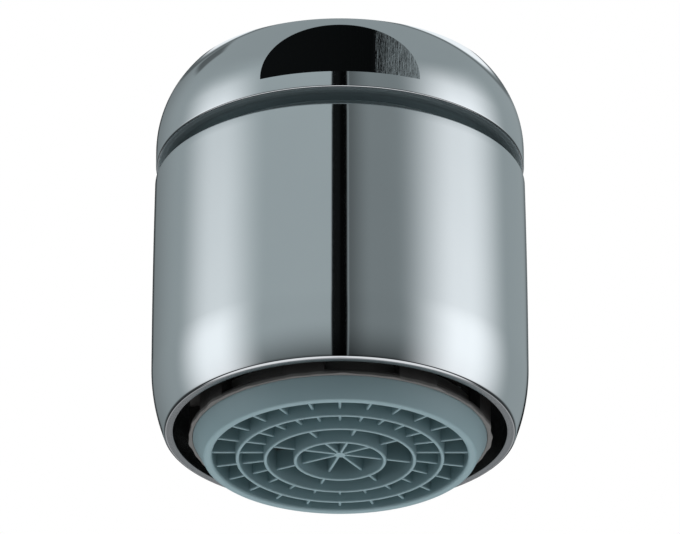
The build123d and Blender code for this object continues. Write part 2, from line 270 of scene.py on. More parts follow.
def latheMarkGroup():
    # fine rings round the axis, as a lathe tool leaves on a flat face or a bore
    inputs = [("Pitch", 9000.0), ("Depth", 1.0)]
    group, given, result = newGroup("latheMarks", inputs, ["Height", "Mask"])
    parts = split(group, ownPosition(group))
    across = calc(group, "ADD", axisDistance(group, parts), parts["Z"])
    fine = group.nodes.new("ShaderNodeTexNoise")
    fine.noise_dimensions = "1D"
    fine.inputs["Scale"].default_value = 1.0
    fine.inputs["Detail"].default_value = effects["latheDetail"]
    fine.inputs["Roughness"].default_value = effects["latheRoughness"]
    group.links.new(calc(group, "MULTIPLY", across, given.outputs["Pitch"]), fine.inputs["W"])
    height = calc(group, "MULTIPLY", fine.outputs["Fac"], given.outputs["Depth"])
    group.links.new(height, result.inputs["Height"])
    group.links.new(fine.outputs["Fac"], result.inputs["Mask"])
    return group


def smudgeGroup():
    # slow cloudy patches with fine specks, for handling marks and small changes of gloss
    inputs = [("Size", 300.0), ("Fine Size", 2500.0)]
    group, given, result = newGroup("smudges", inputs, ["Cloud", "Speck"])
    where = ownPosition(group)
    for label, output in (("Size", "Cloud"), ("Fine Size", "Speck")):
        noise = group.nodes.new("ShaderNodeTexNoise")
        noise.inputs["Detail"].default_value = effects["smudgeDetail"]
        group.links.new(where, noise.inputs["Vector"])
        group.links.new(given.outputs[label], noise.inputs["Scale"])
        group.links.new(noise.outputs["Fac"], result.inputs[output])
    return group


latheMarks = latheMarkGroup()
smudges = smudgeGroup()


def addGroup(tree, group, values):
    node = tree.nodes.new("ShaderNodeGroup")
    node.node_tree = group
    for label, value in values.items():
        node.inputs[label].default_value = value
    return node.outputs


# metals

chrome = {
    "tint": (0.83, 0.86, 0.865),
    "darkTint": (0.78, 0.81, 0.82),
    "gloss": (0.03, 0.055),  # roughness, cleanest and most handled
    "smudges": {"Size": 160.0, "Fine Size": 1800.0},
    "ripple": 0.06,
}


def polishedChrome():
    material, tree, shader = startMaterial("chromePolished")
    marks = addGroup(tree, smudges, chrome["smudges"])
    colour = mixColours(tree, marks["Cloud"], chrome["darkTint"], chrome["tint"])
    tree.links.new(colour, shader.inputs["Base Color"])
    tree.links.new(spread(tree, marks["Speck"], *chrome["gloss"]), shader.inputs["Roughness"])
    shader.inputs["Metallic"].default_value = 1.0
    addBump(tree, shader, marks["Cloud"], chrome["ripple"], effects["markHeight"])
    return material


turnedFinishes = {
    "chromeRim": {
        "tint": (0.56, 0.60, 0.61), "contrast": 0.28, "metallic": 1.0,
        "roughness": 0.24, "pitch": 14000.0, "depth": 0.5,
    },
    "chromeUnder": {  # the cap's underside and neck
        "tint": (0.74, 0.88, 0.91), "contrast": 0.7, "metallic": 0.35,
        "roughness": 0.42, "pitch": 3800.0, "depth": 1.0,
    },
    "chromeBore": {
        "tint": (0.30, 0.32, 0.33), "contrast": 0.28, "metallic": 1.0,
        "roughness": 0.32, "pitch": 4000.0, "depth": 0.5,
    },
    "recessShadeChrome": {  # painted shade: near-black chrome on the step behind the rim
        "tint": (0.03, 0.032, 0.033), "contrast": 0.28, "metallic": 0.6,
        "roughness": 0.5, "pitch": 3000.0, "depth": 0.5,
    },
    "bareBrass": {
        "tint": (0.72, 0.56, 0.28), "contrast": 0.28, "metallic": 1.0,
        "roughness": 0.3, "pitch": 6000.0, "depth": 0.5,
    },
    "screenSteel": {
        "tint": (0.42, 0.43, 0.44), "contrast": 0.28, "metallic": 1.0,
        "roughness": 0.28, "pitch": 9000.0, "depth": 0.2,
    },
}
turnedGloss = (0.7, 1.3)  # shares of the roughness, between which it varies


def turnedMetal(name):
    # metal or plating over visible tool marks
    finish = turnedFinishes[name]
    material, tree, shader = startMaterial(name)
    marks = addGroup(tree, latheMarks, {"Pitch": finish["pitch"], "Depth": 1.0})
    darker = tuple(value * (1 - finish["contrast"]) for value in finish["tint"])
    colour = mixColours(tree, marks["Mask"], darker, finish["tint"])
    tree.links.new(colour, shader.inputs["Base Color"])
    gloss = [finish["roughness"] * share for share in turnedGloss]
    tree.links.new(spread(tree, marks["Mask"], *gloss), shader.inputs["Roughness"])
    shader.inputs["Metallic"].default_value = finish["metallic"]
    addBump(tree, shader, marks["Height"], finish["depth"], effects["markHeight"])
    return material


milled = {
    "streakScale": (13000.0, 13000.0, 300.0),
    "streakDetail": 3.0,
    "streakRoughness": 0.7,
    "sideScale": 80.0,  # per metre across the flat, 0.5 at its middle
    "sideStops": ((0.0, 0.0), (0.69, 0.02), (0.72, 0.3), (0.86, 0.55), (1.0, 1.0)),
    "gloss": (0.03, 0.13),
    "depth": 0.6,
    "height": 0.00003,
}


def milledChrome():
    # spanner flat: upright cutter streaks that grow towards one side
    material, tree, shader = startMaterial("chromeMilled")
    where = ownPosition(tree)
    stretch = tree.nodes.new("ShaderNodeMapping")
    stretch.inputs["Scale"].default_value = milled["streakScale"]
    tree.links.new(where, stretch.inputs["Vector"])
    streaks = tree.nodes.new("ShaderNodeTexNoise")
    streaks.inputs["Scale"].default_value = 1.0
    streaks.inputs["Detail"].default_value = milled["streakDetail"]
    streaks.inputs["Roughness"].default_value = milled["streakRoughness"]
    tree.links.new(stretch.outputs["Vector"], streaks.inputs["Vector"])
    across = calc(tree, "MULTIPLY", split(tree, where)["X"], milled["sideScale"])
    across = calc(tree, "ADD", across, 0.5)
    side = ramp(tree, across, milled["sideStops"])
    height = calc(tree, "MULTIPLY", streaks.outputs["Fac"], side)
    colour = mixColours(tree, streaks.outputs["Fac"], chrome["darkTint"], chrome["tint"])
    tree.links.new(colour, shader.inputs["Base Color"])
    tree.links.new(spread(tree, side, *milled["gloss"]), shader.inputs["Roughness"])
    shader.inputs["Metallic"].default_value = 1.0
    addBump(tree, shader, height, milled["depth"], milled["height"])
    return material


chromePolished = polishedChrome()
chromeRim = turnedMetal("chromeRim")
chromeUnder = turnedMetal("chromeUnder")
chromeBore = turnedMetal("chromeBore")
recessShadeChrome = turnedMetal("recessShadeChrome")
chromeFlat = milledChrome()
print("metals ready")

# cap

cap = {
    "radius": 13.5,
    "height": 6.5,
    "side": 1.3,
    "domeRadius": 7.94,
    "edgeRound": 0.13,
    "threadRadius": 11.0,
    "threadDepth": 5.8,
    "mouthChamfer": 0.3,
    "pocketRadius": 10.2,
    "pocketDepth": 7.6,
    "webDepth": 8.4,
    "webHole": 5.0,
    "neckRadius": 11.3,
    "neckChamfer": 0.4,
    "socketRadius": 8.6,
    "flatDistance": 12.2,
    "flatLedge": 1.2,
    "cutterDepth": 3.0,
    "cutterWidth": 16.0,
    "cutterTop": 2.0,  # above the mouth
    "edgeSteps": 6,
    "domeSteps": 48,
    "sharpAngle": 20.0,
    "segments": 512,
}


def cutFlats(piece, low):
    c = cap
    work = bmesh.new()
    ledge, top = (low + c["flatLedge"]) * mm, c["cutterTop"] * mm
    for side in (-1, 1):
        out = side * (c["flatDistance"] + c["cutterDepth"] / 2) * mm
        middle = Matrix.Translation(Vector((0, out, (ledge + top) / 2)))
        size = Matrix.Diagonal((c["cutterWidth"] * mm, c["cutterDepth"] * mm, top - ledge, 1))
        bmesh.ops.create_cube(work, size=1.0, matrix=middle @ size)
    for face in work.faces:
        face.material_index = 3
    cutter = addObject("flatCutter", meshFrom(work, "flatCutter"))
    setMaterials(cutter, chromePolished, chromeUnder, chromeBore, chromeFlat)
    booleanWith(piece, cutter, "DIFFERENCE")


def buildCap():
    c = cap
    low = -c["height"]
    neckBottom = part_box("swivel_cap")[0].z / mm
    domeFoot = low + c["side"]
    domeCentre = (c["radius"] - c["domeRadius"], domeFoot)
    domeEnd = math.degrees(math.asin(-domeFoot / c["domeRadius"]))
    edge = c["edgeRound"]
    polished, under, bore = 0, 1, 2
    stretches = [
        (polished, arc((c["radius"] - edge, low + edge), edge, -90, 0, c["edgeSteps"])),
        (polished, arc(domeCentre, c["domeRadius"], 0, domeEnd, c["domeSteps"])),
        (bore, [(c["threadRadius"] + c["mouthChamfer"], 0)]),
        (bore, [(c["threadRadius"], -c["mouthChamfer"])]),
        (bore, [(c["threadRadius"], -c["threadDepth"]), (c["pocketRadius"], -c["threadDepth"])]),
        (bore, [(c["pocketRadius"], -c["pocketDepth"]), (c["webHole"], -c["pocketDepth"])]),
        (bore, [(c["webHole"], -c["webDepth"]), (c["socketRadius"], -c["webDepth"])]),
        (bore, [(c["socketRadius"], neckBottom), (c["neckRadius"] - c["neckChamfer"], neckBottom)]),
        (under, [(c["neckRadius"], neckBottom + c["neckChamfer"]), (c["neckRadius"], low)]),
        (under, [(c["radius"] - edge, low)]),
    ]
    piece = turned("capShell", stretches, c["segments"])
    setMaterials(piece, chromePolished, chromeUnder, chromeBore, chromeFlat)
    cutFlats(piece, low)
    markSharp(piece.data, c["sharpAngle"])
    place(piece, "cap", "chrome", "swivel_cap")


inletThread = {
    "pitch": 1.0,
    "crest": 10.46,
    "from": 0.55,
    "to": 5.3,
    "halfWidth": 0.42,
    "crestShare": 0.15,  # of the half width
    "sink": 0.02,  # root inside the cap's wall
    "turnSteps": 96,
    "runOut": 24,  # steps over which each end tapers away
    "thinnest": 0.02,
}


def buildThread():
    # the inlet's helical ridge
    t = inletThread
    turns = (t["to"] - t["from"]) / t["pitch"]
    steps = int(turns * t["turnSteps"])
    root = cap["threadRadius"] + t["sink"]
    verts, faces = [], []
    for i in range(steps + 1):
        angle = 2 * math.pi * turns * i / steps
        height = -t["from"] - t["pitch"] * turns * i / steps
        taper = max(min(1.0, i / t["runOut"], (steps - i) / t["runOut"]), t["thinnest"])
        crest = root - (root - t["crest"]) * taper
        half = t["halfWidth"] * taper
        flat = half * t["crestShare"]
        for radius, rise in ((root, half), (crest, flat), (crest, -flat), (root, -half)):
            x, y = radius * mm * math.cos(angle), radius * mm * math.sin(angle)
            verts.append((x, y, (height + rise) * mm))
    for i in range(steps):
        for k in range(4):
            a, b = i * 4 + k, i * 4 + (k + 1) % 4
            faces.append((a, b, b + 4, a + 4))
    faces += [(0, 1, 2, 3), tuple(steps * 4 + k for k in (3, 2, 1, 0))]
    mesh = bpy.data.meshes.new("inletThread")
    mesh.from_pydata(verts, [], faces)
    faceOutwards(mesh)
    markSharp(mesh)
    piece = addObject("inletThread", mesh)
    setMaterials(piece, chromeBore)
    place(piece, "cap", "chrome")


buildCap()
buildThread()
print("cap ready")

# housing

housing = {
    "bellyRadius": 13.7,
    "taper": 0.15,
    "top": -7.86,
    "shoulderHeight": 5.06,
    "shoulderRadius": 13.95,
    "topRound": 0.12,
    "rimRound": 0.26,
    "rimShare": 0.75,  # of the rim's round, where the shoulder stops
    "rimInner": 12.1,
    "innerRound": 0.06,
    "lipRadius": 11.0,
    "lipLow": -23.4,
    "lipHigh": -22.2,
    "seatRadius": 11.5,
    "seatHigh": -20.0,
    "threadRadius": 12.0,
    "threadHigh": -18.5,
    "boreRadius": 12.3,
    "wallSteps": 24,
    "shoulderSteps": 40,
    "topSteps": 6,
    "rimSteps": 8,
    "innerSteps": 3,
    "segments": 512,
}


def buildHousing():
    h = housing
    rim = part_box("housing")[0].z / mm
    belly = rim + h["shoulderHeight"]
    length = h["top"] - belly
    wall = []  # barrel wall, from just under the top edge down to the belly
    for i in range(h["wallSteps"] + 1):
        share = (1 - i / h["wallSteps"]) * (1 - h["topRound"] / length)
        wall.append((h["bellyRadius"] - h["taper"] * share * share, belly + share * length))
    topCentre = (wall[0][0] - h["topRound"], h["top"] - h["topRound"])
    shoulderCentre = (h["bellyRadius"] - h["shoulderRadius"], belly)
    drop = h["shoulderHeight"] - h["rimRound"] * h["rimShare"]
    stop = math.degrees(math.asin(drop / h["shoulderRadius"]))
    shoulder = arc(shoulderCentre, h["shoulderRadius"], 0, -stop, h["shoulderSteps"])
    rimCentre = (
        shoulder[-1][0] - h["rimRound"] * math.cos(math.radians(stop)),
        shoulder[-1][1] + h["rimRound"] * math.sin(math.radians(stop)),
    )
    rimCorner = arc(rimCentre, h["rimRound"], -stop, -90, h["rimSteps"])
    rimLevel = rimCorner[-1][1]
    inner = h["innerRound"]
    innerCentre = (h["rimInner"] + inner, rimLevel + inner)
    polished, turnedFace, bore, recess = 0, 1, 2, 3
    stretches = [
        (turnedFace, arc(topCentre, h["topRound"], 90, 0, h["topSteps"])),
        (polished, wall),
        (polished, shoulder[1:]),
        (polished, rimCorner[1:-1]),
        (turnedFace, rimCorner[-1:]),
        (turnedFace, arc(innerCentre, inner, -90, -180, h["innerSteps"])),
        (recess, [(h["rimInner"], h["lipLow"]), (h["lipRadius"], h["lipLow"])]),
        (recess, [(h["lipRadius"], h["lipHigh"])]),
        (bore, [(h["seatRadius"], h["lipHigh"]), (h["seatRadius"], h["seatHigh"])]),
        (bore, [(h["threadRadius"], h["seatHigh"]), (h["threadRadius"], h["threadHigh"])]),
        (bore, [(h["boreRadius"], h["threadHigh"]), (h["boreRadius"], h["top"])]),
    ]
    piece = turned("housingShell", stretches, h["segments"])
    # the step behind the rim gets near-black chrome, painted shade
    setMaterials(piece, chromePolished, chromeRim, chromeBore, recessShadeChrome)
    place(piece, "housing", "chrome", "housing")
    print("housing ready, rim at", round(rimLevel, 3), "of", round(rim, 3), "mm")


buildHousing()

# plastics, rubber and bare metals

mouldings = {
    "grillePlastic": {
        "light": (0.425, 0.585, 0.62), "dark": (0.39, 0.545, 0.58), "gloss": (0.36, 0.5),
        "cellShade": (0.305, 0.45, 0.475), "cellShadeLevels": (-0.02985, -0.02855),  # painted shade, darker up inside the cells
        "bore": (0.0095, 0.0093),
        "behindRimShade": (0.22, 0.21, 0.20), "above": (-0.0282, -0.0279),  # painted shade behind the rim
    },
    "sleevePlastic": {
        "light": (0.105, 0.098, 0.093), "dark": (0.06, 0.057, 0.055), "gloss": (0.42, 0.6),
        "paleEdgeTint": (0.24, 0.23, 0.22), "edge": (-0.02795, -0.0281),  # paler at the lower edge
    },
    "acetal": {"light": (0.78, 0.78, 0.75), "dark": (0.68, 0.68, 0.66), "gloss": (0.35, 0.5)},
    "rubber": {
        "light": (0.028, 0.028, 0.029), "dark": (0.014, 0.014, 0.015), "gloss": (0.6, 0.8),
    },
}
mouldGrain = {"smudges": {"Size": 420.0, "Fine Size": 9000.0}, "depth": 0.25}


def mouldedMaterial(name):
    # fine spark-eroded grain with slow patches, on some finishes with painted shade in the cells
    # and behind the rim or a paler lower edge; levels and radii are in metres
    finish = mouldings[name]
    material, tree, shader = startMaterial(name)
    marks = addGroup(tree, smudges, mouldGrain["smudges"])
    colour = mixColours(tree, marks["Cloud"], finish["dark"], finish["light"])
    if "cellShade" in finish:
        # painted shade: the grille's colour turns darker up inside its cells
        parts = split(tree, ownPosition(tree))
        inBore = smooth(tree, axisDistance(tree, parts), *finish["bore"])
        paintedCellShade = calc(tree, "MULTIPLY", inBore, smooth(tree, parts["Z"], *finish["cellShadeLevels"]))
        colour = mixColours(tree, paintedCellShade, colour, finish["cellShade"])
        # painted shade: the grille turns dark above the rim's level, behind the sleeve's windows
        above = smooth(tree, parts["Z"], *finish["above"])
        colour = mixColours(tree, above, colour, finish["behindRimShade"])
    if "paleEdgeTint" in finish:
        atEdge = smooth(tree, split(tree, ownPosition(tree))["Z"], *finish["edge"])
        colour = mixColours(tree, atEdge, colour, finish["paleEdgeTint"])
    tree.links.new(colour, shader.inputs["Base Color"])
    tree.links.new(spread(tree, marks["Cloud"], *finish["gloss"]), shader.inputs["Roughness"])
    addBump(tree, shader, marks["Speck"], mouldGrain["depth"], effects["markHeight"])
    return material


grillePlastic = mouldedMaterial("grillePlastic")
sleevePlastic = mouldedMaterial("sleevePlastic")
acetal = mouldedMaterial("acetal")
rubber = mouldedMaterial("rubber")
bareBrass = turnedMetal("bareBrass")
screenSteel = turnedMetal("screenSteel")
print("plastics ready")

# cartridge sleeve

sleeve = {
    "radius": 10.9,
    "bore": 10.1,
    "flangeRadius": 11.4,
    "flangeHigh": -21.0,
    "flangeLow": -22.2,
    "beadWall": 0.23,
    "beadHeight": 0.4,
    "edgeRound": 0.06,
    "edgeSteps": 4,
    "windowHeight": 2.66,
    "windowSteps": 16,
    "cutPast": 0.5,  # how far the window cutters pass the wall
    "pillars": 8,
    "pillarAngle": 16.3,
    "firstPillar": -14.0,  # degrees from the front, towards +X
    "segments": 360,
}
mouldFlash = {
    "reach": 0.16,
    "waves": ((5, 0.4), (8, 2.1), (19, 1.3), (37, 0.7)),  # waves round the edge, phase
    "bias": 0.35,
    "heightShare": 0.6,  # of the bead, up to which the edge moves
    "depth": 1.5,  # edge rounds inwards from the outer wall
}


def arcBlock(work, inner, outer, low, high, start, end, steps):
    # a curved block about the axis, angles measured from the front towards +X
    rows = []
    corners = ((inner, low), (outer, low), (outer, high), (inner, high))
    for i in range(steps + 1):
        angle = math.radians(start + (end - start) * i / steps)
        rows.append([work.verts.new(spinPoint(*corner, angle)) for corner in corners])
    for first, second in zip(rows, rows[1:]):
        for k in range(4):
            j = (k + 1) % 4
            work.faces.new((first[k], first[j], second[j], second[k]))
    work.faces.new(rows[0])
    work.faces.new(list(reversed(rows[-1])))
    bmesh.ops.recalc_face_normals(work, faces=work.faces)


def addFlash(mesh, low):
    # uneven mould line: the lower outer edge stands out by a varying amount
    s, f = sleeve, mouldFlash
    highest = (low + s["beadHeight"] * f["heightShare"]) * mm
    innermost = (s["radius"] - s["edgeRound"] * f["depth"]) * mm
    for vert in mesh.vertices:
        radius = math.hypot(vert.co.x, vert.co.y)
        if vert.co.z > highest or radius < innermost:
            continue
        angle = math.atan2(vert.co.x, -vert.co.y)
        waves = [math.sin(angle * count + phase) for count, phase in f["waves"]]
        wave = sum(waves) / len(waves)
        scale = 1 + f["reach"] * mm * max(0.0, f["bias"] + wave) / radius
        vert.co.x *= scale
        vert.co.y *= scale


def buildSleeve():
    s = sleeve
    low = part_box("cartridge_sleeve")[0].z / mm
    inner = s["radius"] - s["beadWall"]
    edge, steps = s["edgeRound"], s["edgeSteps"]
    base = low + s["beadHeight"]
    stretches = [
        (0, [(s["bore"], s["flangeHigh"]), (s["flangeRadius"], s["flangeHigh"])]),
        (0, [(s["flangeRadius"], s["flangeLow"]), (s["radius"], s["flangeLow"])]),
        (0, arc((s["radius"] - edge, low + edge), edge, 0, -90, steps)),
        (0, arc((inner + edge, low + edge), edge, -90, -180, steps)),
        (0, [(inner, base), (s["bore"], base)]),
    ]
    piece = turned("sleeveShell", stretches, s["segments"])
    work = bmesh.new()
    pitch = 360 / s["pillars"]
    half = (pitch - s["pillarAngle"]) / 2
    for k in range(s["pillars"]):
        middle = s["firstPillar"] + pitch * (k + 0.5)
        arcBlock(
            work, s["bore"] - s["cutPast"], s["radius"] + s["cutPast"],
            base, base + s["windowHeight"], middle - half, middle + half, s["windowSteps"],
        )
    booleanWith(piece, addObject("windows", meshFrom(work, "windows")), "DIFFERENCE")
    addFlash(piece.data, low)
    markSharp(piece.data)
    setMaterials(piece, sleevePlastic)
    place(piece, "housing", "dark_plastic", "cartridge_sleeve")


buildSleeve()
print("sleeve ready")

# outlet grille

grille = {
    "bottomRadius": 9.95,
    "collarRadius": 10.65,
    "seatRadius": 10.0,
    "waistRadius": 9.8,
    "wall": 0.7,
    "sleeveBottom": -28.26,
    "rim": -27.86,
    "rimGap": 0.02,
    "edgeRound": 0.24,
    "edgeSteps": 6,
    "seatHeight": 0.4,
    "waist": 0.3,
    "draft": 0.08,
    "rings": ((7.425, 0.16), (5.4, 0.26), (3.235, 0.31)),  # radius, drop from the outer ring
    "ringWall": 0.26,
    "ringSteps": 8,
    "ribWall": 0.24,
    "ribDraft": 0.05,
    "ribRecess": 0.55,
    "ribSteps": 6,
    "outerRibs": 24,
    "innerRibs": 8,
    "innerTurn": 15.0,
    "ribStart": 0.1,
    "hubRadius": 0.5,
    "hubDraft": (0.8, 1.2),  # shares of the radius at the lower and upper end
    "hubSink": 0.01,  # below the inner ribs
    "hubSegments": 48,
    "topSteps": (0.01, 0.02, 0.03),  # drop of outer ribs, inner ribs and hub from the top
    "sharpAngle": 35.0,
    "segments": 256,
}


def addRib(work, start, end, angle, low, high):
    # a radial rib with a rounded lower edge
    half, draft, steps = grille["ribWall"] / 2, grille["ribDraft"], grille["ribSteps"]
    direction = Vector((math.sin(math.radians(angle)), -math.cos(math.radians(angle)), 0))
    across = Vector((-direction.y, direction.x, 0))
    section = [(half + draft, high)]
    for i in range(steps + 1):
        turn = math.pi * i / steps
        section.append((half * math.cos(turn), low + half - half * math.sin(turn)))
    section.append((-half - draft, high))
    ends = []
    for radius in (start, end):
        points = [direction * radius + across * x + Vector((0, 0, z)) for x, z in section]
        ends.append([work.verts.new(point * mm) for point in points])
    for k in range(len(section)):
        j = (k + 1) % len(section)
        work.faces.new((ends[0][k], ends[0][j], ends[1][j], ends[1][k]))
    work.faces.new(ends[0])
    work.faces.new(list(reversed(ends[1])))


def addRings(work, low, top):
    g = grille
    half = g["ringWall"] / 2
    for radius, drop in g["rings"]:
        upper = [(radius - half - g["draft"], top), (radius + half + g["draft"], top)]
        lower = arc((radius, low - drop + half), half, 0, -180, g["ringSteps"])
        ring = turned("ring", [(0, upper), (0, lower)], g["segments"])
        work.from_mesh(ring.data)
        bpy.data.objects.remove(ring)


def addHub(work, low, high):
    g = grille
    middle = Matrix.Translation(Vector((0, 0, (low + high) / 2)) * mm)
    lower, upper = [g["hubRadius"] * mm * share for share in g["hubDraft"]]
    bmesh.ops.create_cone(
        work, cap_ends=True, segments=g["hubSegments"], radius1=lower, radius2=upper,
        depth=(high - low) * mm, matrix=middle,
    )


def buildGrille():
    g = grille
    bottom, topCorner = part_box("outlet_grille")
    top = topCorner.z / mm
    drops = [drop for radius, drop in g["rings"]]
    low = bottom.z / mm + drops[-1]
    edge, steps = g["edgeRound"], g["edgeSteps"]
    bore = g["bottomRadius"] - g["wall"]
    collarLow = g["sleeveBottom"]
    cone = math.degrees(math.atan2(g["collarRadius"] - g["bottomRadius"], collarLow - low))
    seatLow = top - g["seatHeight"]
    collarHigh = g["rim"] - g["rimGap"]
    stretches = [
        (0, [(bore - g["draft"], top), (g["seatRadius"], top), (g["seatRadius"], seatLow)]),
        (0, [(g["waistRadius"], seatLow - g["waist"]), (g["waistRadius"], collarHigh)]),
        (0, [(g["collarRadius"], collarHigh), (g["collarRadius"], collarLow)]),
        (0, arc((g["bottomRadius"] - edge, low + edge), edge, -cone, -90, steps)),
        (0, arc((bore + edge, low + edge), edge, -90, -180, steps)),
    ]
    piece = turned("grilleShell", stretches, g["segments"])
    work = bmesh.new()
    addRings(work, low, top)
    outerLow = low + g["ribRecess"] - drops[0]
    innerLow = low + g["ribRecess"] - drops[2]
    outerDrop, innerDrop, hubDrop = g["topSteps"]
    outerEnd, middleRing = g["bottomRadius"] - g["wall"] / 2, g["rings"][1][0]
    for k in range(g["outerRibs"]):
        angle = 360 / g["outerRibs"] * k
        addRib(work, middleRing, outerEnd, angle, outerLow, top - outerDrop)
    for k in range(g["innerRibs"]):
        angle = g["innerTurn"] + 360 / g["innerRibs"] * k
        addRib(work, g["ribStart"], middleRing, angle, innerLow, top - innerDrop)
    addHub(work, innerLow - g["hubSink"], top - hubDrop)
    bmesh.ops.recalc_face_normals(work, faces=work.faces)
    booleanWith(piece, addObject("ribs", meshFrom(work, "ribs")), "UNION")
    markSharp(piece.data, g["sharpAngle"])
    setMaterials(piece, grillePlastic)
    place(piece, "housing", "grille_plastic", "outlet_grille")


buildGrille()
print("grille ready")

# woven screens

screen = {
    "pitch": 0.8,
    "wire": 0.09,  # radius
    "sides": 6,
    "stepsPerPitch": 4,
    "fewestSteps": 4,
    "sharpAngle": 70.0,
}


def addWire(verts, faces, route, turn):
    # a tube along (along, offset, height, direction) points, turned about the axis
    sides, wire = screen["sides"], screen["wire"] * mm
    start = len(verts)
    for along, offset, height, direction in route:
        for side in range(sides):
            angle = 2 * math.pi * side / sides
            a, b = offset + wire * math.cos(angle), height + wire * math.sin(angle)
            x, y = (along, a) if direction == 0 else (a, along)
            verts.append((
                x * math.cos(turn) - y * math.sin(turn),
                x * math.sin(turn) + y * math.cos(turn), b,
            ))
    for i in range(len(route) - 1):
        for side in range(sides):
            p, q = start + i * sides + side, start + i * sides + (side + 1) % sides
            faces.append((p, q, q + sides, p + sides))
    last = len(verts) - sides
    faces.append(tuple(range(start, start + sides)))
    faces.append(tuple(reversed(range(last, last + sides))))


def buildScreen(node, name, turn):
    # over-and-under wires that end inside the screen's circle
    low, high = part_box(node)
    middle = (low.z + high.z) / 2
    reach = high.x
    pitch, wire = screen["pitch"] * mm, screen["wire"] * mm
    swing = (high.z - low.z) / 2 - wire
    verts, faces = [], []
    count = int(reach / pitch)
    for direction in (0, 1):
        for k in range(-count, count + 1):
            offset = k * pitch
            half = math.sqrt(max(reach * reach - offset * offset, 0)) - wire * 2
            steps = int(2 * half / pitch * screen["stepsPerPitch"])
            if steps < screen["fewestSteps"]:
                continue
            route = []
            for i in range(steps + 1):
                along = -half + 2 * half * i / steps
                phase = math.pi * along / pitch + math.pi * (k + direction)
                route.append((along, offset, middle + swing * math.cos(phase), direction))
            addWire(verts, faces, route, turn)
    mesh = bpy.data.meshes.new(name)
    mesh.from_pydata(verts, [], faces)
    faceOutwards(mesh)
    markSharp(mesh, screen["sharpAngle"])
    piece = addObject(name, mesh)
    setMaterials(piece, screenSteel)
    place(piece, "housing", "steel", node)


buildScreen("upper_screen", "upperMesh", 0.0)
buildScreen("lower_screen", "lowerMesh", math.pi / 4)
print("screens ready")

# pieces whose shape stays as it is

keptFinishes = {
    "inlet_washer": rubber,
    "ball_seal": rubber,
    "stem_oring": rubber,
    "cartridge_washer": rubber,
    "flow_oring": rubber,
    "slide_ring": acetal,
    "cartridge_strainer": acetal,
    "flow_limiter": acetal,
    "jet_plate": acetal,
    "mixing_ring": sleevePlastic,
    "screen_spacer": sleevePlastic,
    "retaining_ring": bareBrass,
    "ball_carrier": bareBrass,
    "swivel_ball": chromePolished,
}
for nodeName, material in keptFinishes.items():
    setMaterials(nodes[nodeName], material)
print("inner pieces finished")

# studio; azimuths are from the front towards +X, elevations from the level, in degrees

studio = {
    "panelTint": (0.875, 1.0, 1.045),
    "boxTint": (0.992, 0.992, 1.025),
    "seam": (-1.0, 1.0),  # azimuths between which the left side turns into the right
    "leftBase": 0.21,
    "leftSteps": ((-165.0, -115.0, 0.12), (-115.0, -50.0, 0.045)),  # from, to, gain
    "rightBase": 0.105,
    "rightSteps": (
        (3.0, 20.0, 0.11), (28.0, 60.0, 0.07), (60.0, 110.0, 0.045), (152.0, 175.0, -0.12),
    ),
    "panelFoot": (-26.0, 8.0, 0.12, 1.0),  # elevations, brightness below and above them
    "panelHead": (14.0, 34.0, 0.0, 0.05),  # gain upwards
    "ceilingStart": (36.0, 54.0),
    "ceiling": 0.32,
    "boxes": (  # half widths where the light ends and where it is full, elevations of its end
        {"azimuth": -82.0, "outer": 37.0, "inner": 3.0, "bright": 0.69, "fade": (43.0, 12.0)},
        {"azimuth": 80.5, "outer": 46.0, "inner": 4.0, "bright": 0.81, "fade": (49.0, 14.0)},
    ),
    "boxFoot": (-27.0, -16.0),
    "slot": (-5.1, 4.3),  # dark gap between the front panels
    "slotBlur": 0.5,
    "slotTop": (70.0, 60.0),
    "slotDepth": 0.985,
    "slotLine": {"azimuth": 5.0, "width": 0.8, "bright": 0.12},
    "backdrop": {
        "turn": 4.0, "elevation": 50.0, "height": 15.0, "width": 27.0,
        "bright": 0.68, "edge": (1.1, 0.95),
        "border": 0.5, "borderMiddle": 1.2, "borderWidth": (0.16, 0.02),
    },
    "shade": {
        "azimuth": -139.0, "width": 12.0, "elevation": 48.0, "height": 6.5,
        "core": 0.5, "amount": 0.62,
    },
    "sideShades": (
        {"azimuths": (160.0, 166.0), "elevations": (29.0, 22.0), "amount": 0.97},
        {"azimuths": (-160.0, -167.0), "elevations": (34.0, 28.0), "amount": 0.75},
    ),
    "groundStart": (-42.0, -52.0),
    "groundStartBack": (-8.0, -16.0),
    "backAzimuths": (160.0, 172.0),
    "groundFront": 0.85,
    "groundBack": 0.36,
}


def add(tree, first, second):
    return calc(tree, "ADD", first, second)


def times(tree, first, second):
    return calc(tree, "MULTIPLY", first, second)


def blend(tree, share, first, second):
    # first where the share is 0, second where it is 1
    rest = calc(tree, "SUBTRACT", 1.0, share)
    return add(tree, times(tree, first, rest), times(tree, second, share))


def away(tree, source, centre):
    return calc(tree, "ABSOLUTE", calc(tree, "SUBTRACT", source, centre))


def stepped(tree, source, base, steps):
    total = base
    for start, end, gain in steps:
        total = add(tree, smooth(tree, source, start, end, 0.0, gain), total)
    return total


def tinted(tree, value, tint):
    node = tree.nodes.new("ShaderNodeVectorMath")
    node.operation = "SCALE"
    node.inputs[0].default_value = tint
    tree.links.new(value, node.inputs["Scale"])
    return node.outputs["Vector"]


def wallPanels(tree, azimuth, elevation):
    # grey panels left and right, brighter upwards, under a plain ceiling
    s = studio
    left = stepped(tree, azimuth, s["leftBase"], s["leftSteps"])
    right = stepped(tree, azimuth, s["rightBase"], s["rightSteps"])
    panel = blend(tree, smooth(tree, azimuth, *s["seam"]), left, right)
    head = smooth(tree, elevation, *s["panelHead"])
    panel = times(tree, panel, add(tree, head, smooth(tree, elevation, *s["panelFoot"])))
    return blend(tree, smooth(tree, elevation, *s["ceilingStart"]), panel, s["ceiling"])


